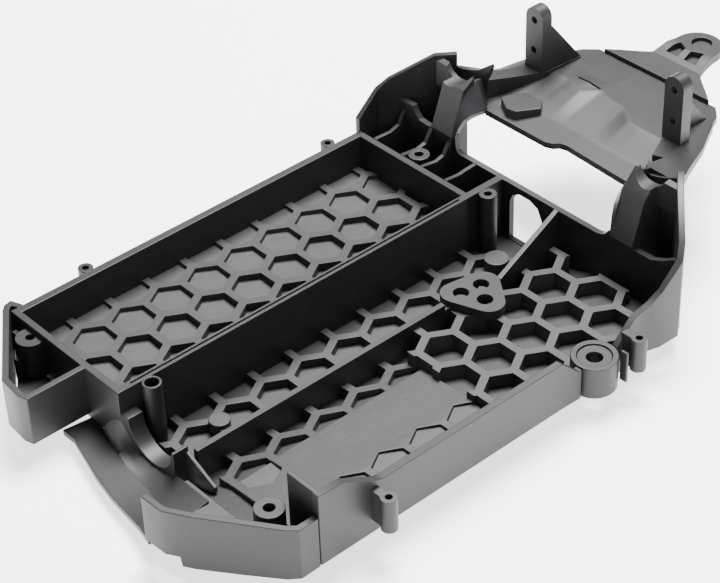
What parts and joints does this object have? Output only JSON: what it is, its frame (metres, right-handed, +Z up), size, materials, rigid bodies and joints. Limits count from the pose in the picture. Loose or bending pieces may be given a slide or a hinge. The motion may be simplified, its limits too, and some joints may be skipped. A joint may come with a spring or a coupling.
{
  "type": "radio-controlled car chassis tub",
  "caption": "Bare moulded chassis tub with battery bay, honeycomb floors, screw bosses, saddle towers and a raised front deck.",
  "frame": {"origin": "middle of the bounding box, at the underside of the keel", "axes": "+X to the car's right, +Y forward to the nose, +Z up"},
  "size_m": [0.1554, 0.2764, 0.0708],
  "materials": {
    "nylon_floor": "satin moulded glass-filled nylon",
    "nylon_wall": "satin moulded glass-filled nylon",
    "nylon_front": "satin moulded glass-filled nylon"
  },
  "bodies": {
    "root": {"battery_bay_floor": "nylon_floor", "battery_bay_front_wall": "nylon_wall", "battery_bay_hex_grid": "nylon_floor", "battery_bay_rear_wall": "nylon_wall", "centre_divider": "nylon_wall", "cross_wall": "nylon_wall", "deck_block": "nylon_front", "diagonal_divider": "nylon_wall", "front_deck": "nylon_front", "front_left_boss": "nylon_wall", "front_pocket_floor": "nylon_floor", "front_tall_boss": "nylon_wall", "keel_floor": "nylon_floor", "keel_front_pad": "nylon_floor", "keel_hex_grid": "nylon_floor", "keel_rear_pad": "nylon_floor", "left_deck_arm": "nylon_front", "left_front_lug": "nylon_wall", "left_front_wall": "nylon_wall", "left_post": "nylon_front", "left_rear_lug": "nylon_wall", "left_saddle": "nylon_front", "left_side_wall": "nylon_wall", "left_tower": "nylon_front", "left_window_cheek": "nylon_front", "main_divider": "nylon_wall", "nose_plate": "nylon_front", "nose_tab": "nylon_front", "partition_wall": "nylon_wall", "pocket_rib_1": "nylon_wall", "pocket_rib_2": "nylon_wall", "pocket_rib_3": "nylon_wall", "pocket_rib_4": "nylon_wall", "rear_left_boss": "nylon_wall", "rear_left_box_floor": "nylon_floor", "rear_left_box_wall": "nylon_wall", "rear_lip": "nylon_wall", "rear_right_boss": "nylon_wall", "rear_right_box_floor": "nylon_floor", "rear_right_box_wall": "nylon_wall", "rear_saddle": "nylon_wall", "rear_scoop": "nylon_floor", "rear_tall_boss": "nylon_wall", "right_bay_floor": "nylon_floor", "right_bay_tray": "nylon_floor", "right_deck_arm": "nylon_front", "right_front_hex_grid": "nylon_floor", "right_front_lug": "nylon_wall", "right_front_wall": "nylon_wall", "right_post": "nylon_front", "right_rear_hex_grid": "nylon_floor", "right_rear_lug": "nylon_wall", "right_saddle": "nylon_front", "right_side_wall": "nylon_wall", "right_tower": "nylon_front", "right_window_cheek": "nylon_front", "saddle_gusset": "nylon_front", "three_hole_plate": "nylon_front", "through_hole_pad": "nylon_wall"}
  },
  "joints": []
}
